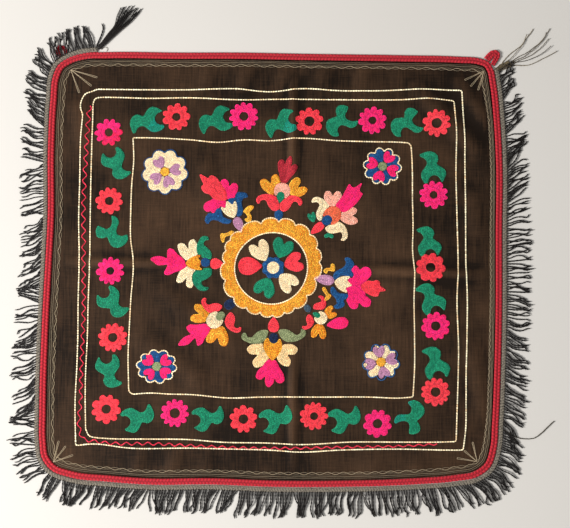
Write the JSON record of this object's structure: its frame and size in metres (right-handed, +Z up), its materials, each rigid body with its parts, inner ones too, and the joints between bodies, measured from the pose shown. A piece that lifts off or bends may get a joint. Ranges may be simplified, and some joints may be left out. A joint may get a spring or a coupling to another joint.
{
  "type": "suzani embroidered textile",
  "caption": "Square embroidered suzani cloth lying flat, bound in red braid, with a corded black fringe on three sides and hanging loops at its top corners.",
  "frame": {"origin": "middle of the cloth's underside, on the plane that it lies on", "axes": "+Z up out of the embroidered face, +Y towards the unfringed top edge, +X towards the cloth's right-hand side"},
  "size_m": [0.6509, 0.6111, 0.0045],
  "materials": {
    "cotton_satin": "brown-black cotton satin with fine slubs and worn, soft creases",
    "red_braid": "matt ribbed braid of dyed yarn",
    "fringe_cord": "twisted viscose cord with a slight sheen"
  },
  "bodies": {
    "root": {"ground_cloth": "cotton_satin", "red_binding": "red_braid", "hanging_loop_right": "red_braid", "hanging_loop_left": "red_braid", "fringe_trim": "fringe_cord", "fringe_end_lock": "fringe_cord"}
  },
  "joints": []
}
